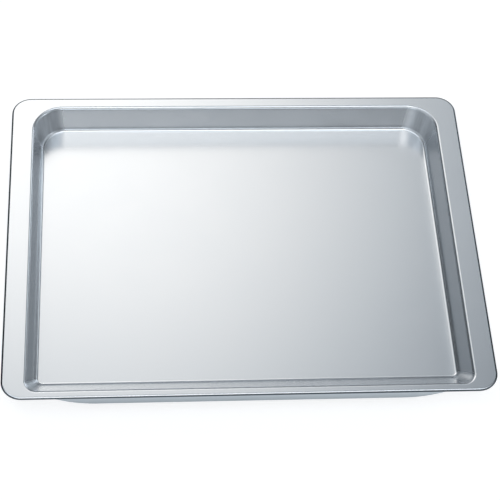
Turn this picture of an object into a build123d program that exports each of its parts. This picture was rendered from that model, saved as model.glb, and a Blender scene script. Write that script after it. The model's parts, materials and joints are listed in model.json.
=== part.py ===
from build123d import *
import math
import os

# A pressed oven tray: a drawn sheet with a rolled edge, the wire inside the roll, and a grip strip in front.
# X runs along the width, the front edge is at -Y, and Z = 0 is the underside of the floor.

# The rim from above
tray_width = 456.0
tray_depth = 346.0
outer_corner = 19.0
side_flange = 22.9
back_flange = 13.6
front_flange = 7.4

# The well: each run is how far a wall leans inwards over the well's depth
well_depth = 34.0
side_wall_run = 6.0
back_wall_run = 1.5
front_wall_run = 25.0
rim_corner_back = 28.0
rim_corner_front = 10.0
floor_corner_back = 24.0
floor_corner_front = 6.5

# The sheet and its bends, with the radii on the upper surface
sheet = 0.8
shoulder_radius = 3.0
floor_fillet = 3.5

# The rolled edge and the wire inside it
wire_radius = 0.9
wire_clearance = 0.1
curl_turn = 270.0

# The grip strip under the front flange
grip_sheet = 0.8
grip_drop = 14.8
grip_edge_inset = 1.5
grip_straight = 282.0
grip_end_radius = 102.0
grip_front_bend = 1.6
grip_weld_leg = 12.0
grip_clearance = 0.3
weld_count = 7
weld_radius = 2.5
weld_dimple = 0.15
weld_spacing = 40.0

# Levels and places that follow from the sizes above
flange_top = well_depth + sheet
flange_under = well_depth
roll_inner = wire_radius + wire_clearance
roll_radius = roll_inner + sheet
roll_level = flange_top - roll_radius
front_edge = -tray_depth / 2
back_edge = tray_depth / 2
grip_back_bend = shoulder_radius - sheet + grip_clearance


def wall_slant(run):
    """Horizontal width of one unit of thickness in a wall that leans by this run over the well's depth."""
    return math.hypot(run, well_depth) / well_depth


def well_outline(level, thickness):
    """Outline of the well at a height, moved outwards through a thickness square to each wall."""
    share = (flange_top - level) / well_depth
    side = tray_width / 2 - side_flange - side_wall_run * share + thickness * wall_slant(side_wall_run)
    back = back_edge - back_flange - back_wall_run * share + thickness * wall_slant(back_wall_run)
    front = front_edge + front_flange + front_wall_run * share - thickness * wall_slant(front_wall_run)
    back_corner = rim_corner_back + (floor_corner_back - rim_corner_back) * share + thickness
    front_corner = rim_corner_front + (floor_corner_front - rim_corner_front) * share + thickness
    with BuildSketch(Plane.XY.offset(level)) as outline:
        with Locations((0, (back + front) / 2)):
            Rectangle(2 * side, back - front)
        fillet(outline.vertices().group_by(Axis.Y)[0], front_corner)
        fillet(outline.vertices().group_by(Axis.Y)[-1], back_corner)
    return outline.sketch


def level_face(part, level):
    """The largest flat face within half a sheet of a height."""
    low, high = level - sheet / 2, level + sheet / 2
    return part.faces().filter_by(Axis.Z).filter_by_position(Axis.Z, low, high).sort_by(SortBy.AREA)[-1]


def rim_edges(part, level):
    """Edges where the well meets the flange's face at a height."""
    return level_face(part, level).inner_wires()[0].edges()


def floor_edges(part, level):
    """Edges round the floor's face at a height."""
    return level_face(part, level).outer_wire().edges()


# Where the grip strip's outer face runs, seen from the side
roll_centre = Vector(front_edge + roll_radius, roll_level)
apron_foot = Vector(front_edge + grip_edge_inset, flange_top - grip_drop)
foot_to_roll = roll_centre - apron_foot
apron_lean = math.atan2(foot_to_roll.X, foot_to_roll.Y)
apron_lean += math.asin((roll_radius + grip_clearance) / foot_to_roll.length)
apron_top = Vector(apron_foot.X + (grip_drop - sheet) * math.tan(apron_lean), flange_under)
wall_lean = math.atan2(front_wall_run, well_depth)
wall_top_inset = front_flange + front_wall_run * sheet / well_depth - sheet * wall_slant(front_wall_run)
wall_top = Vector(front_edge + wall_top_inset, flange_under)
down_wall = Vector(math.sin(wall_lean), -math.cos(wall_lean))
out_of_wall = Vector(0, -math.cos(wall_lean), -math.sin(wall_lean))
weld_foot = wall_top + down_wall * grip_weld_leg
weld_row = wall_top + down_wall * (grip_weld_leg - 2 * weld_radius)
weld_centre = Vector(0, weld_row.X, weld_row.Y) + out_of_wall * grip_sheet
weld_face = Plane(origin=weld_centre, x_dir=(1, 0, 0), z_dir=out_of_wall)

# Centre line of the rolled edge
with BuildSketch(Plane.XY.offset(roll_level)) as roll_outline:
    RectangleRounded(tray_width - 2 * roll_radius, tray_depth - 2 * roll_radius, outer_corner - roll_radius)
roll_path = roll_outline.sketch.faces()[0].outer_wire()
roll_start = Plane(origin=roll_path @ 0, x_dir=(0, 0, 1), z_dir=roll_path % 0)

# Pressed sheet: flange, well and rolled edge
with BuildPart() as tray_shell:
    with BuildSketch(Plane.XY.offset(flange_under)):
        RectangleRounded(tray_width - 2 * roll_radius, tray_depth - 2 * roll_radius, outer_corner - roll_radius)
    extrude(amount=sheet)
    loft(sections=[well_outline(flange_top, sheet), well_outline(0, sheet)], ruled=True)
    loft(sections=[well_outline(flange_top, 0), well_outline(sheet, 0)], ruled=True, mode=Mode.SUBTRACT)
    fillet(rim_edges(tray_shell.part, flange_top), shoulder_radius)
    fillet(rim_edges(tray_shell.part, flange_under), shoulder_radius - sheet)
    fillet(floor_edges(tray_shell.part, sheet), floor_fillet)
    fillet(floor_edges(tray_shell.part, 0), floor_fillet + sheet)
    with BuildSketch(roll_start):
        with BuildLine():
            outer_turn = CenterArc((0, 0), roll_radius, 0, curl_turn)
            inner_turn = CenterArc((0, 0), roll_inner, 0, curl_turn)
            Line(outer_turn @ 0, inner_turn @ 0)
            Line(outer_turn @ 1, inner_turn @ 1)
        make_face()
    sweep(path=roll_path)
tray_shell.part.label = "tray_shell"

# Steel wire inside the rolled edge
with BuildPart() as rim_wire:
    with BuildSketch(roll_start):
        Circle(wire_radius)
    sweep(path=roll_path)
rim_wire.part.label = "rim_wire"

# Folded strip behind the rolled front edge, spot-welded to the flange and the front wall
with BuildPart() as front_grip:
    with BuildSketch(Plane.YZ):
        with BuildLine():
            FilletPolyline(apron_foot, apron_top, wall_top, weld_foot, radius=[grip_front_bend, grip_back_bend])
            offset(amount=grip_sheet, side=Side.RIGHT)
        make_face()
    extrude(amount=grip_straight, both=True)
    with BuildSketch(Plane.XZ.offset(-front_edge)):
        with BuildLine():
            foot = Line((-grip_straight / 2, apron_foot.Y), (grip_straight / 2, apron_foot.Y))
            rise = flange_under - apron_foot.Y
            reach = math.sqrt(grip_end_radius**2 - (grip_end_radius - rise) ** 2)
            right_end = TangentArc(foot @ 1, (grip_straight / 2 + reach, flange_under), tangent=(1, 0))
            left_end = TangentArc(foot @ 0, (-grip_straight / 2 - reach, flange_under), tangent=(-1, 0))
            Line(left_end @ 1, right_end @ 1)
        make_face()
    extrude(amount=-grip_straight, mode=Mode.INTERSECT)
    with BuildSketch(weld_face):
        with GridLocations(weld_spacing, 0, weld_count, 1):
            Circle(weld_radius)
    extrude(amount=-weld_dimple, mode=Mode.SUBTRACT)
front_grip.part.label = "front_grip"

os.makedirs("parts", exist_ok=True)
export_step(tray_shell.part, "parts/tray_shell.step")
export_step(rim_wire.part, "parts/rim_wire.step")
export_step(front_grip.part, "parts/front_grip.step")
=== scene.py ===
import json
import math
from collections import namedtuple

import bmesh
import bpy
from mathutils import Matrix, Vector


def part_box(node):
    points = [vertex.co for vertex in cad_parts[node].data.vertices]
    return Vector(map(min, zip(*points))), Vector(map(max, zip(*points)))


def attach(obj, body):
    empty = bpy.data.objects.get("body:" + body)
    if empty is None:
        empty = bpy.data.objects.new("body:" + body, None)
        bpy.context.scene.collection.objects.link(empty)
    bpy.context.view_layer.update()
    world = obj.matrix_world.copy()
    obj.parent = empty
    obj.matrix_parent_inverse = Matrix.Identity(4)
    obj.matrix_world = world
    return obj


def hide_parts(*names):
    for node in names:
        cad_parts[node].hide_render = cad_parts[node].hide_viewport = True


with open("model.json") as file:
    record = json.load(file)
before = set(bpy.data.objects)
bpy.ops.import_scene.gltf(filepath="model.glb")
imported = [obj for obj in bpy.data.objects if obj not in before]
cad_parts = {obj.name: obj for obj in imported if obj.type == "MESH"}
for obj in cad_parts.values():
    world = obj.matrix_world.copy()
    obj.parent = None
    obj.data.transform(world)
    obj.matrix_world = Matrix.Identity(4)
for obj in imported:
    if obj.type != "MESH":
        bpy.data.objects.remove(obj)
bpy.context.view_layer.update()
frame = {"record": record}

MM = 0.001

# Places that the frame gives
shell_low, shell_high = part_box("tray_shell")
wire_low, wire_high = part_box("rim_wire")
grip_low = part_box("front_grip")[0]
HALF_WIDTH = shell_high.x
FRONT_EDGE = shell_low.y
BACK_EDGE = shell_high.y
FLANGE_TOP = shell_high.z
ROLL_LEVEL = (wire_low.z + wire_high.z) / 2
ROLL_RADIUS = FLANGE_TOP - ROLL_LEVEL
WIRE_RADIUS = (wire_high.z - wire_low.z) / 2

# The pressed sheet: the floor's underside is at zero, so the flange's underside gives the well's depth
SHEET = 0.8 * MM
FLANGE_UNDER = FLANGE_TOP - SHEET
WELL_DEPTH = FLANGE_UNDER
SIDE_FLANGE = 22.9 * MM
BACK_FLANGE = 13.6 * MM
FRONT_FLANGE = 7.4 * MM
SIDE_RUN = 6.0 * MM
BACK_RUN = 1.5 * MM
FRONT_RUN = 25.0 * MM
OUTER_CORNER = 19.0 * MM
RIM_CORNER_BACK = 28.0 * MM
RIM_CORNER_FRONT = 10.0 * MM
FLOOR_CORNER_BACK = 24.0 * MM
FLOOR_CORNER_FRONT = 6.5 * MM
SHOULDER_RADIUS = 3.0 * MM
FLOOR_FILLET = 3.5 * MM
CURL_TURN = math.radians(270)

# The grip strip under the front flange
GRIP_SHEET = 0.8 * MM
GRIP_EDGE_INSET = 1.5 * MM
GRIP_STRAIGHT = 282.0 * MM
GRIP_END_RADIUS = 102.0 * MM
GRIP_FRONT_BEND = 1.6 * MM
GRIP_BACK_BEND = 2.5 * MM
GRIP_WELD_LEG = 12.0 * MM
GRIP_CLEARANCE = 0.3 * MM
GRIP_EDGE_ROUND = 0.15 * MM
WELD_COUNT = 7
WELD_SPACING = 40.0 * MM
WELD_RADIUS = 2.5 * MM
WELD_DIMPLE = 0.15 * MM
WELD_FLANK = 0.5 * MM
WELD_PATCH = 3.6 * MM

# How finely the bends are cut, and how far from a bend the flat sheet has its first line
CORNER_STEPS = 14
BEND_STEPS = 14
CURL_STEPS = 27
WIRE_STEPS = 16
WALL_LEVELS = 5
FOLD_STEPS = 6
GRIP_END_STEPS = 12
WELD_SIDE_STEPS = 5
EDGE_STEPS = 2
SUPPORT = 0.4 * MM

# What counts as touching, in line or square when parts of a mesh are picked
TOUCHING = 0.001 * MM
ON_FOLD = 0.01 * MM
ON_WELD_ROW = 0.1 * MM
SQUARE_TO = 0.001
FACING = 0.99
PATCH_AREA_SHARE = 0.01
SHEARED_TURN = math.radians(70)
SMOOTH_TURN = math.radians(40)

Ring = namedtuple("Ring", "half_width front back level front_corner back_corner bend wall roll")


def wall_turn(run):
    """Angle between the floor and a wall that leans by this run over the well's depth."""
    return math.pi / 2 - math.atan2(run, WELL_DEPTH)


def bend_shift(level, run):
    """How far the shoulder or the floor's fillet takes a wall off its straight line at a height."""
    turn = wall_turn(run)
    for radius, rise, way in ((SHOULDER_RADIUS, FLANGE_TOP - level, 1), (FLOOR_FILLET, level - SHEET, -1)):
        if rise < radius * (1 - math.cos(turn)):
            angle = math.acos(min(1.0, 1 - rise / radius))
            return way * (radius * (math.tan(turn / 2) - math.sin(angle)) + rise * run / WELL_DEPTH)
    return 0.0


def well_ring(level, bend, wall):
    """The well's outline at a height, on the upper surface."""
    share = (FLANGE_TOP - level) / WELL_DEPTH
    side_shift, back_shift, front_shift = (bend_shift(level, run) for run in (SIDE_RUN, BACK_RUN, FRONT_RUN))
    back_corner = RIM_CORNER_BACK + (FLOOR_CORNER_BACK - RIM_CORNER_BACK) * share
    front_corner = RIM_CORNER_FRONT + (FLOOR_CORNER_FRONT - RIM_CORNER_FRONT) * share
    return Ring(
        half_width=HALF_WIDTH - SIDE_FLANGE - SIDE_RUN * share + side_shift,
        front=FRONT_EDGE + FRONT_FLANGE + FRONT_RUN * share - front_shift,
        back=BACK_EDGE - BACK_FLANGE - BACK_RUN * share + back_shift,
        level=level,
        front_corner=front_corner + (side_shift + front_shift) / 2,
        back_corner=back_corner + (side_shift + back_shift) / 2,
        bend=bend, wall=wall, roll=0.0)


def grown(ring, amount):
    """The same ring moved outwards in its own plane, on flat sheet."""
    return ring._replace(
        half_width=ring.half_width + amount, front=ring.front - amount, back=ring.back + amount,
        front_corner=ring.front_corner + amount, back_corner=ring.back_corner + amount,
        bend=0.0, wall=0.0, roll=0.0)


def roll_ring(angle, radius, roll):
    """A ring round the rolled edge, at an angle that starts on top and goes outwards."""
    reach = radius * math.sin(angle) - ROLL_RADIUS
    return Ring(
        half_width=HALF_WIDTH + reach, front=FRONT_EDGE - reach, back=BACK_EDGE + reach,
        level=ROLL_LEVEL + radius * math.cos(angle),
        front_corner=OUTER_CORNER + reach, back_corner=OUTER_CORNER + reach,
        bend=0.0, wall=0.0, roll=roll)


def shell_rings():
    """The tray's upper surface from the floor's edge out to the end of the roll."""
    quarter = [math.pi / 2 * step / BEND_STEPS for step in range(BEND_STEPS + 1)]
    fillet = [well_ring(SHEET + FLOOR_FILLET * (1 - math.cos(a)), 1.0, a / quarter[-1]) for a in quarter]
    shoulder = [well_ring(FLANGE_TOP - SHOULDER_RADIUS * (1 - math.cos(a)), 1.0, a / quarter[-1])
                for a in reversed(quarter)]
    low, high = fillet[-1].level, shoulder[0].level
    wall = [well_ring(low + (high - low) * step / (WALL_LEVELS + 1), 0.0, 1.0)
            for step in range(1, WALL_LEVELS + 1)]
    curl = [roll_ring(CURL_TURN * step / CURL_STEPS, ROLL_RADIUS, (step + 1) / (CURL_STEPS + 1))
            for step in range(CURL_STEPS + 1)]
    flange = [grown(shoulder[-1], SUPPORT), grown(curl[0], -SUPPORT)]
    return [grown(fillet[0], -SUPPORT)] + fillet + wall + shoulder + flange + curl


def corner_of(ring, vert):
    """Centre and radius of the ring's corner that a vertex belongs to."""
    if vert.co.y < (ring.front + ring.back) / 2:
        radius, y = ring.front_corner, ring.front + ring.front_corner
    else:
        radius, y = ring.back_corner, ring.back - ring.back_corner
    return Vector((math.copysign(ring.half_width - radius, vert.co.x), y, ring.level)), radius


def mark(verts, ring, layers):
    """Writes the ring's masks on its vertices, and how far round a corner each one is."""
    for vert in verts:
        for name, layer in layers.items():
            if name == "corner":
                centre, radius = corner_of(ring, vert)
                vert[layer] = 2 * abs((vert.co.x - centre.x) * (vert.co.y - centre.y)) / radius ** 2
            else:
                vert[layer] = getattr(ring, name)


def rounded(mesh, geom, reach, steps, affect):
    """Rounds corners or edges, starting a distance away from them."""
    bmesh.ops.bevel(mesh, geom=geom, offset=reach, offset_type="OFFSET", segments=steps, profile=0.5,
                    affect=affect, material=-1)


def first_ring(mesh, ring, layers):
    """Makes a face with the ring's outline and returns its edges."""
    verts = bmesh.ops.create_grid(mesh, x_segments=1, y_segments=1, size=1.0)["verts"]
    middle = (ring.front + ring.back) / 2
    bmesh.ops.scale(mesh, verts=verts, vec=(ring.half_width, (ring.back - ring.front) / 2, 1.0))
    bmesh.ops.translate(mesh, verts=verts, vec=(0, middle, ring.level))
    front_corners = [v for v in verts if v.co.y < middle]
    back_corners = [v for v in verts if v.co.y > middle]
    rounded(mesh, front_corners, ring.front_corner, CORNER_STEPS, "VERTICES")
    rounded(mesh, back_corners, ring.back_corner, CORNER_STEPS, "VERTICES")
    mark(mesh.verts, ring, layers)
    return mesh.edges[:]


def next_ring(mesh, edges, old, new, layers):
    """Extrudes the last ring's edges to the place of the next ring and returns the new edges."""
    made = bmesh.ops.extrude_edge_only(mesh, edges=edges)["geom"]
    verts = [g for g in made if isinstance(g, bmesh.types.BMVert)]
    for vert in verts:
        old_centre, old_radius = corner_of(old, vert)
        new_centre, new_radius = corner_of(new, vert)
        vert.co = new_centre + (vert.co - old_centre) * (new_radius / old_radius)
    mark(verts, new, layers)
    moved = set(verts)
    return [g for g in made if isinstance(g, bmesh.types.BMEdge) and moved.issuperset(g.verts)]


def skin(mesh, rings, layers):
    """Runs a sheet through a row of rings, starting from a face on the first one."""
    edges = first_ring(mesh, rings[0], layers)
    for old, new in zip(rings, rings[1:]):
        edges = next_ring(mesh, edges, old, new, layers)


def largest_face(mesh):
    """The face with the most area, which is the one on the first ring."""
    return max(mesh.faces, key=lambda f: f.calc_area())


def finish_piece(mesh, name, material, node):
    """Turns a bmesh into a smooth-shaded piece that stands for its node."""
    data = bpy.data.meshes.new(name)
    mesh.to_mesh(data)
    mesh.free()
    data.shade_smooth()
    data.set_sharp_from_angle(angle=SMOOTH_TURN)
    data.materials.append(material)
    piece = bpy.data.objects.new(name, data)
    bpy.context.scene.collection.objects.link(piece)
    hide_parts(node)
    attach(piece, "root")


def make_shell(material):
    """The pressed sheet: floor, walls, flanges and rolled edge."""
    mesh = bmesh.new()
    layers = {name: mesh.verts.layers.float.new(name) for name in ("bend", "wall", "roll", "corner")}
    skin(mesh, shell_rings(), layers)
    bmesh.ops.recalc_face_normals(mesh, faces=mesh.faces)
    if largest_face(mesh).normal.z < 0:
        bmesh.ops.reverse_faces(mesh, faces=mesh.faces)
    bmesh.ops.solidify(mesh, geom=mesh.faces[:], thickness=SHEET)
    finish_piece(mesh, "pressed_shell", material, "tray_shell")


def make_wire(material):
    """The steel wire inside the rolled edge."""
    mesh = bmesh.new()
    rings = [roll_ring(math.tau * step / WIRE_STEPS, WIRE_RADIUS, 0.0) for step in range(WIRE_STEPS + 1)]
    skin(mesh, rings, {})
    bmesh.ops.delete(mesh, geom=[largest_face(mesh)], context="FACES_ONLY")
    bmesh.ops.remove_doubles(mesh, verts=mesh.verts, dist=TOUCHING)
    bmesh.ops.recalc_face_normals(mesh, faces=mesh.faces)
    finish_piece(mesh, "edge_wire", material, "rim_wire")


def grip_profile():
    """Corners of the strip's outer face seen from the side: apron, flange and the leg along the wall."""
    foot = Vector((0, FRONT_EDGE + GRIP_EDGE_INSET, grip_low.z))
    to_roll = Vector((0, FRONT_EDGE + ROLL_RADIUS, ROLL_LEVEL)) - foot
    lean = math.atan2(to_roll.y, to_roll.z) + math.asin((ROLL_RADIUS + GRIP_CLEARANCE) / to_roll.length)
    top = Vector((0, foot.y + (FLANGE_UNDER - foot.z) * math.tan(lean), FLANGE_UNDER))
    slant = math.hypot(FRONT_RUN, WELL_DEPTH)
    inset = FRONT_FLANGE + (FRONT_RUN - slant) * SHEET / WELL_DEPTH
    wall_top = Vector((0, FRONT_EDGE + inset, FLANGE_UNDER))
    down_wall = Vector((0, FRONT_RUN, -WELL_DEPTH)) / slant
    return foot, top, wall_top, wall_top + down_wall * GRIP_WELD_LEG


def fold(mesh, corner, before, after, radius):
    """Bends the sheet along the fold line through a corner of its profile."""
    turn = (corner - before).angle(after - corner)
    line = [e for e in mesh.edges if all(math.dist(v.co.yz, corner.yz) < ON_FOLD for v in e.verts)]
    rounded(mesh, line, radius * math.tan(turn / 2), FOLD_STEPS, "EDGES")


def folded_strip(mesh, corners):
    """The strip's outer face: its profile drawn out along the tray's width, with the two folds."""
    foot, top, wall_top, weld_foot = corners
    reach = Vector((GRIP_STRAIGHT, 0, 0))
    verts = [mesh.verts.new(corner - reach) for corner in corners]
    edges = [mesh.edges.new(pair) for pair in zip(verts, verts[1:])]
    made = bmesh.ops.extrude_edge_only(mesh, edges=edges)["geom"]
    bmesh.ops.translate(mesh, verts=[g for g in made if isinstance(g, bmesh.types.BMVert)], vec=reach * 2)
    fold(mesh, top, foot, wall_top, GRIP_FRONT_BEND)
    fold(mesh, wall_top, top, weld_foot, GRIP_BACK_BEND)
    mesh.normal_update()
    if max(mesh.faces, key=lambda f: abs(f.normal.z)).normal.z < 0:
        bmesh.ops.reverse_faces(mesh, faces=mesh.faces)


def cut_ends(mesh):
    """Trims both ends of the strip to the arcs that sweep up to the flange."""
    rise = FLANGE_UNDER - grip_low.z
    sweep = math.acos(1 - rise / GRIP_END_RADIUS)
    for side in (-1, 1):
        centre = Vector((side * GRIP_STRAIGHT / 2, 0, grip_low.z + GRIP_END_RADIUS))
        for step in range(1, GRIP_END_STEPS + 1):
            angle = sweep * step / GRIP_END_STEPS
            outwards = Vector((side * math.sin(angle), 0, -math.cos(angle)))
            bmesh.ops.bisect_plane(mesh, geom=mesh.verts[:] + mesh.edges[:] + mesh.faces[:], dist=TOUCHING,
                                   plane_co=centre + outwards * GRIP_END_RADIUS, plane_no=outwards,
                                   clear_outer=True)


def cut_weld_patches(mesh, row, up_wall):
    """Cuts a square round each weld into the leg, so that the dimple has its own face."""
    across = Vector((1, 0, 0))
    cuts = [(row + up_wall * reach, up_wall) for reach in (-WELD_PATCH, WELD_PATCH)]
    for weld in range(WELD_COUNT):
        place = row + across * WELD_SPACING * (weld - (WELD_COUNT - 1) / 2)
        cuts += [(place + across * reach, across) for reach in (-WELD_PATCH, WELD_PATCH)]
    for place, normal in cuts:
        leg = [f for f in mesh.faces
               if abs(f.normal.dot(up_wall)) < SQUARE_TO and abs(f.normal.x) < SQUARE_TO]
        around = {v for f in leg for v in f.verts} | {e for f in leg for e in f.edges}
        bmesh.ops.bisect_plane(mesh, geom=leg + list(around), dist=TOUCHING, plane_co=place, plane_no=normal)


def thicken_strip(mesh, cut):
    """Gives the strip its sheet and marks the edges where the sheet was sheared off."""
    outer_skin = set(mesh.verts)
    bmesh.ops.solidify(mesh, geom=mesh.faces[:], thickness=GRIP_SHEET)
    for face in mesh.faces:
        if 0 < len(outer_skin.intersection(face.verts)) < len(face.verts):
            face[cut] = 1.0
    bmesh.ops.recalc_face_normals(mesh, faces=mesh.faces)


def weld_patches(mesh, row, up_wall):
    """The squares for the welds, on the side of the leg that is turned away from the wall."""
    outwards = up_wall.cross(Vector((1, 0, 0)))
    if outwards.z > 0:
        outwards.negate()
    face_row = row + outwards * GRIP_SHEET
    area = (2 * WELD_PATCH) ** 2
    return [f for f in mesh.faces if f.normal.dot(outwards) > FACING
            and abs((f.calc_center_median() - face_row).dot(up_wall)) < ON_WELD_ROW
            and abs(f.calc_area() - area) < PATCH_AREA_SHARE * area]


def press_weld(mesh, face, weld):
    """Presses a round dimple into a square face."""
    centre = face.calc_center_median()
    bmesh.ops.bisect_edges(mesh, edges=face.edges[:], cuts=WELD_SIDE_STEPS - 1)
    bmesh.ops.inset_individual(mesh, faces=[face], thickness=(WELD_PATCH - WELD_RADIUS) / 2)
    for vert in face.verts:
        vert.co = centre + (vert.co - centre).normalized() * WELD_RADIUS
    for depth in (-WELD_DIMPLE, 0.0):
        bmesh.ops.inset_individual(mesh, faces=[face], thickness=WELD_FLANK, depth=depth)
        for vert in face.verts:
            vert[weld] = 1.0


def make_grip(material):
    """The folded strip behind the front edge: an apron for the fingers, welded to the front wall."""
    mesh = bmesh.new()
    weld = mesh.verts.layers.float.new("weld")
    cut = mesh.faces.layers.float.new("cut")
    corners = grip_profile()
    wall_top, weld_foot = corners[2:]
    up_wall = (wall_top - weld_foot).normalized()
    row = weld_foot + up_wall * 2 * WELD_RADIUS
    folded_strip(mesh, corners)
    cut_ends(mesh)
    mesh.normal_update()
    cut_weld_patches(mesh, row, up_wall)
    thicken_strip(mesh, cut)
    for patch in weld_patches(mesh, row, up_wall):
        press_weld(mesh, patch, weld)
    sheared = [e for e in mesh.edges if e.is_manifold and e.calc_face_angle() > SHEARED_TURN]
    rounded(mesh, sheared, GRIP_EDGE_ROUND, EDGE_STEPS, "EDGES")
    finish_piece(mesh, "grip_strip", material, "front_grip")


def add_node(tree, kind, values=None, **settings):
    """Adds a node with its settings, and gives its inputs values or links them to other nodes' outputs."""
    made = tree.nodes.new(kind)
    for name, value in settings.items():
        setattr(made, name, value)
    for key, value in (values or {}).items():
        if isinstance(value, bpy.types.NodeSocket):
            tree.links.new(value, made.inputs[key])
        else:
            made.inputs[key].default_value = value
    return made


def worked(tree, operation, *values):
    """The result of a sum with masks and numbers."""
    return add_node(tree, "ShaderNodeMath", dict(enumerate(values)), operation=operation).outputs[0]


def scaled(tree, value, factor):
    """A mask times a number or another mask."""
    return worked(tree, "MULTIPLY", value, factor)


def added(tree, first, *others):
    """Masks and numbers added together."""
    for other in others:
        first = worked(tree, "ADD", first, other)
    return first


def ramp(tree, value, low, high, start=0.0, end=1.0):
    """Turns a range of a mask into another range, without going past its ends."""
    return add_node(tree, "ShaderNodeMapRange", {
        "Value": value, "From Min": low, "From Max": high, "To Min": start, "To Max": end}).outputs["Result"]


def noise(tree, place, per_metre, look):
    """A noise mask with so many features per metre."""
    return add_node(tree, "ShaderNodeTexNoise", {"Vector": place, "Scale": per_metre, **look}).outputs["Fac"]


def attribute(tree, name):
    """A mask that the piece carries in its mesh."""
    mask = add_node(tree, "ShaderNodeAttribute", attribute_name=name, attribute_type="GEOMETRY")
    return mask.outputs["Fac"]


def tinted(tree, colour, mask, tint):
    """Mixes a tint into a colour by a mask."""
    mixed = add_node(tree, "ShaderNodeMix", {"Factor": mask}, data_type="RGBA")
    colours = [i for i in mixed.inputs if i.type == "RGBA"]
    if isinstance(colour, bpy.types.NodeSocket):
        tree.links.new(colour, colours[0])
    else:
        colours[0].default_value = (*colour, 1)
    colours[1].default_value = (*tint, 1)
    return next(o for o in mixed.outputs if o.type == "RGBA")


def node_material(name):
    """A new material with an empty node tree, its Principled shader and its output."""
    material = bpy.data.materials.new(name)
    material.use_nodes = True
    tree = material.node_tree
    tree.nodes.clear()
    shader = add_node(tree, "ShaderNodeBsdfPrincipled")
    add_node(tree, "ShaderNodeOutputMaterial", {"Surface": shader.outputs["BSDF"]})
    return material, tree, shader


def new_group(name, numbers, masks):
    """An empty node group that takes a place and some numbers, and puts out masks."""
    tree = bpy.data.node_groups.new(name, "ShaderNodeTree")
    tree.interface.new_socket("Place", in_out="INPUT", socket_type="NodeSocketVector")
    for label in numbers:
        tree.interface.new_socket(label, in_out="INPUT", socket_type="NodeSocketFloat")
    for label in masks:
        tree.interface.new_socket(label, in_out="OUTPUT", socket_type="NodeSocketFloat")
    given = add_node(tree, "NodeGroupInput").outputs
    result = add_node(tree, "NodeGroupOutput").inputs
    return tree, given, result


def use_group(tree, group, values):
    """Places a node group in a material with its own values."""
    return add_node(tree, "ShaderNodeGroup", values, node_tree=group).outputs


# The noises that the shared effects are made of
GRAIN_LOOK = {"Detail": 3.0, "Roughness": 0.6}
CLOUD_LOOK = {"Detail": 5.0, "Roughness": 0.55, "Distortion": 0.6}
PATCH_LOOK = {"Detail": 6.0, "Roughness": 0.7}
PATCH_FADE = 0.25
HAIRLINE_LOOK = {"Detail": 0.0}
HAIRLINE_RUNS = ((0.35, 0.02), (-0.9, 0.03))
HAIRLINE_MIDDLE = 0.5
GAP_LOOK = {"Detail": 2.0}
GAPS_PER_METRE = 35.0
GAP_START = 0.54
GAP_END = 0.70


def sheet_grain_group():
    """Fine grain of a rolled sheet and the cloudiness of its satin finish."""
    tree, given, result = new_group(
        "sheet_grain", ["Grain per Metre", "Clouds per Metre"], ["Grain", "Clouds"])
    tree.links.new(noise(tree, given["Place"], given["Grain per Metre"], GRAIN_LOOK), result["Grain"])
    tree.links.new(noise(tree, given["Place"], given["Clouds per Metre"], CLOUD_LOOK), result["Clouds"])
    return tree


def edge_wear_group():
    """Patches where a bend is rubbed bright."""
    tree, given, result = new_group("edge_wear", ["Edge", "Patches per Metre", "Cover"], ["Wear"])
    patches = noise(tree, given["Place"], given["Patches per Metre"], PATCH_LOOK)
    start = worked(tree, "SUBTRACT", 1.0, given["Cover"])
    rubbed = ramp(tree, patches, start, added(tree, start, PATCH_FADE))
    tree.links.new(scaled(tree, rubbed, given["Edge"]), result["Wear"])
    return tree


def hairline_group():
    """Hairline marks from stacking and washing, in two crossing directions with gaps between them."""
    tree, given, result = new_group("hairlines", ["Lines per Metre", "Width"], ["Marks"])
    lines = []
    for turn, stretch in HAIRLINE_RUNS:
        laid = add_node(tree, "ShaderNodeMapping", {
            "Vector": given["Place"], "Rotation": (0, 0, turn), "Scale": (stretch, 1.0, 1.0)})
        waves = noise(tree, laid.outputs["Vector"], given["Lines per Metre"], HAIRLINE_LOOK)
        away = worked(tree, "ABSOLUTE", worked(tree, "SUBTRACT", waves, HAIRLINE_MIDDLE))
        lines.append(ramp(tree, away, 0.0, given["Width"], 1.0, 0.0))
    gaps = noise(tree, given["Place"], GAPS_PER_METRE, GAP_LOOK)
    marks = scaled(tree, worked(tree, "MAXIMUM", *lines), ramp(tree, gaps, GAP_START, GAP_END))
    tree.links.new(marks, result["Marks"])
    return tree


def slot_colour(slot_name):
    """The record's colour for a material slot."""
    return next(m["base_color"] for m in frame["record"]["materials"] if m["slot"] == slot_name)


def shade(colour, factor):
    """A lighter or darker version of a colour."""
    return [channel * factor for channel in colour]


# What every metal of the tray shares
GRAIN_HEIGHT = 0.003 * MM
HAIRLINE_HEIGHT = 0.0001 * MM
CLOUD_START = 0.3
CLOUD_END = 0.7
CLOUD_ROUGHNESS = 0.02
MARK_ROUGHNESS = 0.005
WORN_ROUGHNESS = -0.02

# The tray's satin sheet
SATIN_GRAIN = {"Grain per Metre": 900.0, "Clouds per Metre": 22.0}
SATIN_WEAR = {"Patches per Metre": 60.0, "Cover": 0.5}
SATIN_LINES = {"Lines per Metre": 220.0, "Width": 0.03}
SATIN_DARK_SHADE = 0.985
SATIN_PALE_SHADE = 1.015
SATIN_WORN_SHADE = 1.10
SATIN_WORN_COVER = 0.3
SHEET_ROUGHNESS = 0.225
GRAIN_ROUGHNESS = 0.04

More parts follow.
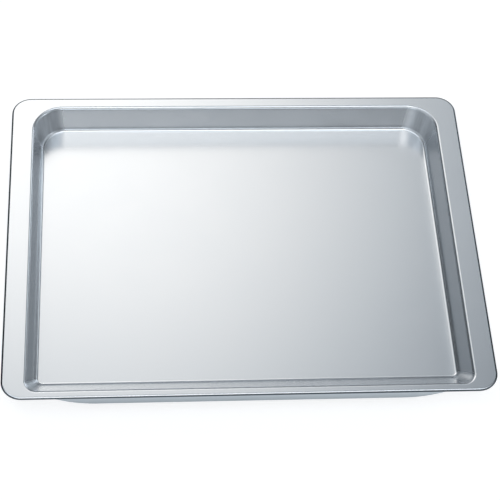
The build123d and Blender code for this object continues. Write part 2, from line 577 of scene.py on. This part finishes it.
# The drawn streaks in its corners, and painted shade on the rolled edge for the dark reflection its outer
# side shows, which starts further round the roll in front so that the roll's top stays bright there
STREAK_LOOK = {"Detail": 3.0, "Roughness": 0.5}
STREAKS_PER_METRE = 260.0
STREAK_STRETCH = 0.06
STREAK_START = 0.38
STREAK_END = 0.66
DRAWN_SHADE = 0.62
DRAWN_COVER = 0.40
DRAWN_ROUGHNESS = 0.10
DRAWN_HEIGHT = 0.006 * MM
CORNER_ROUGHNESS = 0.12
ROLL_PAINTED_SHADE = (0.075, 0.09, 0.105)
ROLL_FADE = 0.05
FRONT_SHADE_DELAY = 0.17


def object_place(tree):
    """The place on the piece, which its patterns follow."""
    return add_node(tree, "ShaderNodeTexCoord").outputs["Object"]


def coordinate(tree, place, axis):
    """How far along one axis a place is, in metres."""
    return add_node(tree, "ShaderNodeSeparateXYZ", {"Vector": place}).outputs[axis]


def surface(tree, shader, colour, roughness, *heights):
    """Feeds a colour, a roughness and a stack of small heights in metres to a metal's shader."""
    shader.inputs["Metallic"].default_value = 1.0
    tree.links.new(colour, shader.inputs["Base Color"])
    tree.links.new(roughness, shader.inputs["Roughness"])
    height = added(tree, *heights)
    bump = add_node(tree, "ShaderNodeBump", {"Height": height, "Distance": 1.0, "Strength": 1.0})
    tree.links.new(bump.outputs["Normal"], shader.inputs["Normal"])


def satin_steel(groups):
    """The tray's satin sheet: cloudy grain, drawn corners, bright bends, painted shade on the rolled edge and
    hairlines.
    """
    material, tree, shader = node_material("satin_steel")
    place = object_place(tree)
    bend = attribute(tree, "bend")
    base = slot_colour("tray_sheet")
    grain = use_group(tree, groups["grain"], {"Place": place, **SATIN_GRAIN})
    wear = use_group(tree, groups["wear"], {"Place": place, "Edge": bend, **SATIN_WEAR})["Wear"]
    marks = use_group(tree, groups["hairlines"], {"Place": place, **SATIN_LINES})["Marks"]
    upright = add_node(tree, "ShaderNodeMapping", {"Vector": place, "Scale": (1.0, 1.0, STREAK_STRETCH)})
    streaks = noise(tree, upright.outputs["Vector"], STREAKS_PER_METRE, STREAK_LOOK)
    corner = scaled(tree, attribute(tree, "corner"), attribute(tree, "wall"))
    drawn = scaled(tree, corner, ramp(tree, streaks, STREAK_START, STREAK_END))
    # Painted shade on the rolled edge, standing in for the dark reflection of its outer side; in front it
    # starts further round the roll
    depth = coordinate(tree, place, "Y")
    later_in_front = ramp(tree, depth, FRONT_EDGE, FRONT_EDGE + OUTER_CORNER, -FRONT_SHADE_DELAY, 0.0)
    rolled = ramp(tree, added(tree, attribute(tree, "roll"), later_in_front), 0.0, ROLL_FADE)
    clouded = ramp(tree, grain["Clouds"], CLOUD_START, CLOUD_END)
    colour = tinted(tree, shade(base, SATIN_DARK_SHADE), clouded, shade(base, SATIN_PALE_SHADE))
    colour = tinted(tree, colour, scaled(tree, wear, SATIN_WORN_COVER), shade(base, SATIN_WORN_SHADE))
    colour = tinted(tree, colour, scaled(tree, drawn, DRAWN_COVER), shade(base, DRAWN_SHADE))
    # Painted shade on the rolled edge
    colour = tinted(tree, colour, rolled, ROLL_PAINTED_SHADE)
    roughness = added(
        tree, scaled(tree, clouded, CLOUD_ROUGHNESS), SHEET_ROUGHNESS,
        scaled(tree, grain["Grain"], GRAIN_ROUGHNESS), scaled(tree, marks, MARK_ROUGHNESS),
        scaled(tree, wear, WORN_ROUGHNESS), scaled(tree, drawn, DRAWN_ROUGHNESS),
        scaled(tree, corner, CORNER_ROUGHNESS))
    surface(tree, shader, colour, roughness, scaled(tree, grain["Grain"], GRAIN_HEIGHT),
            scaled(tree, marks, -HAIRLINE_HEIGHT), scaled(tree, drawn, DRAWN_HEIGHT))
    return material


# The grip strip's duller sheet: its own colours, painted shade that rises from its foot and lies on its
# sheared edges, and heat-tinted welds
STRIP_GRAIN = {"Grain per Metre": 700.0, "Clouds per Metre": 35.0}
STRIP_WEAR = {"Patches per Metre": 90.0, "Cover": 0.45}
STRIP_LINES = {"Lines per Metre": 160.0, "Width": 0.03}
STRIP_ROUGHNESS = 0.30
STRIP_PALE = (0.42, 0.47, 0.51)
STRIP_CLOUD = (0.46, 0.51, 0.55)
STRIP_WORN = (0.62, 0.66, 0.70)
STRIP_WORN_COVER = 0.4
STRIP_FOOT_SHADE = (0.27, 0.31, 0.34)
STRIP_SHADE_RISE = 7.0 * MM
STRIP_EDGE_SHADE = (0.10, 0.12, 0.12)
STRIP_SHADE_COVER = 0.8
WELD_STRAW = (0.62, 0.50, 0.34)
WELD_STRAW_END = 0.5
WELD_STRAW_COVER = 0.7
WELD_BLUE = (0.30, 0.34, 0.46)
WELD_BLUE_START = 0.6
WELD_BLUE_COVER = 0.6


def dull_strip(groups):
    """The grip strip's duller sheet, with heat-tinted spot welds, painted shade on its cut edge and painted
    shade that rises from its foot.
    """
    material, tree, shader = node_material("dull_strip")
    place = object_place(tree)
    cut = attribute(tree, "cut")
    weld = attribute(tree, "weld")
    grain = use_group(tree, groups["grain"], {"Place": place, **STRIP_GRAIN})
    wear = use_group(tree, groups["wear"], {"Place": place, "Edge": cut, **STRIP_WEAR})["Wear"]
    marks = use_group(tree, groups["hairlines"], {"Place": place, **STRIP_LINES})["Marks"]
    height = coordinate(tree, place, "Z")
    # Painted shade that darkens the strip towards its foot
    rising_shade = ramp(tree, height, grip_low.z, grip_low.z + STRIP_SHADE_RISE, 1.0, 0.0)
    clouded = ramp(tree, grain["Clouds"], CLOUD_START, CLOUD_END)
    straw = ramp(tree, weld, 0.0, WELD_STRAW_END, 0.0, WELD_STRAW_COVER)
    blue = ramp(tree, weld, WELD_BLUE_START, 1.0, 0.0, WELD_BLUE_COVER)
    colour = tinted(tree, STRIP_PALE, clouded, STRIP_CLOUD)
    colour = tinted(tree, colour, scaled(tree, wear, STRIP_WORN_COVER), STRIP_WORN)
    colour = tinted(tree, colour, straw, WELD_STRAW)
    colour = tinted(tree, colour, blue, WELD_BLUE)
    colour = tinted(tree, colour, scaled(tree, rising_shade, STRIP_SHADE_COVER), STRIP_FOOT_SHADE)
    # Painted shade on the sheared edge faces, for the dark line along the strip's lower edge
    colour = tinted(tree, colour, scaled(tree, cut, STRIP_SHADE_COVER), STRIP_EDGE_SHADE)
    roughness = added(
        tree, scaled(tree, clouded, CLOUD_ROUGHNESS), STRIP_ROUGHNESS,
        scaled(tree, marks, MARK_ROUGHNESS), scaled(tree, wear, WORN_ROUGHNESS))
    surface(tree, shader, colour, roughness, scaled(tree, grain["Grain"], GRAIN_HEIGHT),
            scaled(tree, marks, -HAIRLINE_HEIGHT))
    return material


# The drawn wire
WIRE_GRAIN = {"Grain per Metre": 2500.0, "Clouds per Metre": 80.0}
WIRE_WEAR = {"Edge": 1.0, "Patches per Metre": 150.0, "Cover": 0.4}
WIRE_DARK_SHADE = 0.85
WIRE_WORN_SHADE = 1.2
WIRE_WORN_COVER = 0.5
WIRE_ROUGHNESS = 0.3
WIRE_CLOUD_ROUGHNESS = 0.2


def drawn_wire(groups):
    """The edge wire: plain drawn steel, cloudy and a little worn."""
    material, tree, shader = node_material("drawn_wire")
    place = object_place(tree)
    base = slot_colour("rim_wire")
    grain = use_group(tree, groups["grain"], {"Place": place, **WIRE_GRAIN})
    wear = use_group(tree, groups["wear"], {"Place": place, **WIRE_WEAR})["Wear"]
    clouded = ramp(tree, grain["Clouds"], CLOUD_START, CLOUD_END)
    colour = tinted(tree, shade(base, WIRE_DARK_SHADE), clouded, base)
    colour = tinted(tree, colour, scaled(tree, wear, WIRE_WORN_COVER), shade(base, WIRE_WORN_SHADE))
    roughness = added(tree, scaled(tree, grain["Clouds"], WIRE_CLOUD_ROUGHNESS), WIRE_ROUGHNESS)
    surface(tree, shader, colour, roughness, scaled(tree, grain["Grain"], GRAIN_HEIGHT))
    return material


# The camera, from the photograph's own edges
CAMERA_PLACE = Vector((-105.7, -810.9, 1238.5)) * MM
CAMERA_DOWN = math.radians(56.308)
CAMERA_YAW = math.radians(7.949)
CAMERA_ROLL = math.radians(5.931)
CAMERA_LENS = 108.0
CAMERA_SENSOR = 36.0


def make_camera():
    """The camera at the photograph's viewing angle."""
    data = bpy.data.cameras.new("photo_camera")
    data.lens = CAMERA_LENS
    data.sensor_width = CAMERA_SENSOR
    camera = bpy.data.objects.new("photo_camera", data)
    bpy.context.scene.collection.objects.link(camera)
    turn = (Matrix.Rotation(-CAMERA_YAW, 4, "Z") @ Matrix.Rotation(math.pi / 2 - CAMERA_DOWN, 4, "X")
            @ Matrix.Rotation(CAMERA_ROLL, 4, "Z"))
    camera.matrix_world = Matrix.Translation(CAMERA_PLACE) @ turn
    bpy.context.scene.camera = camera


# Soft studio light: each field is azimuth from +Y towards +X and elevation in degrees, and strength
FIELD_SPREAD = math.radians(9.0)
WINDOW_COLOUR = (1.02, 1.0, 0.975)
WINDOW_RIM_COLOUR = (0.80, 0.96, 1.12)
WINDOW_RIM_LEVEL = 0.25
WINDOW_FULL_LEVEL = 1.1
WINDOW_FIELDS = (
    (0.0, 54.0, 1.50),
    (-12.0, 40.0, 0.75),
    (-24.0, 40.0, 1.10),
    (-172.0, 61.0, 2.40),
    (165.0, 69.0, 0.60),
)
FILL_COLOUR = (0.93, 1.0, 1.07)
FILL_FIELDS = (
    (40.0, 24.0, 2.50),
    (0.0, 14.0, 0.35),
    (120.0, 7.0, 2.50),
    (120.0, 68.0, 2.45),
    (180.0, 7.0, 2.05),
    (-160.0, 24.0, 1.45),
    (-120.0, 7.0, 1.50),
    (-120.0, 54.0, 0.55),
    (-120.0, 68.0, 0.75),
    (-80.0, 68.0, 1.70),
)
# Fields that light the tray for someone who walks round it
SIDE_FIELDS = (
    (90.0, 12.0, 0.80),
    (90.0, 38.0, 0.60),
    (-90.0, 12.0, 0.80),
    (-90.0, 38.0, 0.60),
    (0.0, 88.0, 0.45),
    (-45.0, 10.0, 0.25),
    (145.0, 14.0, 0.60),
    (-145.0, 14.0, 0.60),
)


def direction(azimuth, elevation):
    """Unit vector for an azimuth from +Y towards +X and an elevation, in degrees."""
    a, e = math.radians(azimuth), math.radians(elevation)
    return Vector((math.sin(a) * math.cos(e), math.cos(a) * math.cos(e), math.sin(e)))


def light_level(tree, place, fields):
    """The summed strength of a set of round soft fields in a direction."""
    level = 0.0
    for azimuth, elevation, strength in fields:
        dot = add_node(tree, "ShaderNodeVectorMath", {0: place, 1: direction(azimuth, elevation)},
                       operation="DOT_PRODUCT").outputs["Value"]
        away = added(tree, dot, -1.0)
        bell = worked(tree, "EXPONENT", scaled(tree, away, 1 / FIELD_SPREAD ** 2))
        level = added(tree, scaled(tree, bell, strength), level)
    return level


def make_world():
    """A plain studio: neutral window fields, and bluish fill fields round the tray."""
    world = bpy.data.worlds.new("studio")
    world.use_nodes = True
    tree = world.node_tree
    tree.nodes.clear()
    place = add_node(tree, "ShaderNodeTexCoord").outputs["Generated"]
    level = light_level(tree, place, WINDOW_FIELDS)
    full = ramp(tree, level, WINDOW_RIM_LEVEL, WINDOW_FULL_LEVEL)
    window = add_node(tree, "ShaderNodeBackground", {
        "Color": tinted(tree, WINDOW_RIM_COLOUR, full, WINDOW_COLOUR), "Strength": level})
    fill = add_node(tree, "ShaderNodeBackground", {
        "Color": (*FILL_COLOUR, 1), "Strength": light_level(tree, place, FILL_FIELDS + SIDE_FIELDS)})
    both = add_node(tree, "ShaderNodeAddShader", {0: window.outputs[0], 1: fill.outputs[0]})
    add_node(tree, "ShaderNodeOutputWorld", {"Surface": both.outputs[0]})
    bpy.context.scene.world = world


FLOOR_COLOUR = (0.5, 0.5, 0.5)
FLOOR_ROUGHNESS = 0.9
FLOOR_LIFT_COLOUR = (1.0, 1.0, 1.0)
FLOOR_LIFT = 0.71
FLOOR_SIZE = 60.0


def make_floor():
    """A pale floor that looks white to the eye and in reflections, and keeps the tray's shadow."""
    mesh = bmesh.new()
    bmesh.ops.create_grid(mesh, x_segments=1, y_segments=1, size=FLOOR_SIZE / 2)
    data = bpy.data.meshes.new("floor")
    mesh.to_mesh(data)
    mesh.free()
    floor = bpy.data.objects.new("floor", data)
    bpy.context.scene.collection.objects.link(floor)
    material, tree, shader = node_material("pale_floor")
    shader.inputs["Base Color"].default_value = (*FLOOR_COLOUR, 1)
    shader.inputs["Roughness"].default_value = FLOOR_ROUGHNESS
    shader.inputs["Emission Color"].default_value = (*FLOOR_LIFT_COLOUR, 1)
    ray = add_node(tree, "ShaderNodeLightPath").outputs
    seen = ray["Is Camera Ray"]
    for other in ("Is Glossy Ray", "Is Transmission Ray"):
        seen = worked(tree, "MAXIMUM", seen, ray[other])
    tree.links.new(scaled(tree, seen, FLOOR_LIFT), shader.inputs["Emission Strength"])
    data.materials.append(material)


shared_effects = {"grain": sheet_grain_group(), "wear": edge_wear_group(), "hairlines": hairline_group()}
make_shell(satin_steel(shared_effects))
make_wire(drawn_wire(shared_effects))
make_grip(dull_strip(shared_effects))
make_floor()
make_world()
make_camera()
bpy.context.scene.view_settings.view_transform = "Standard"
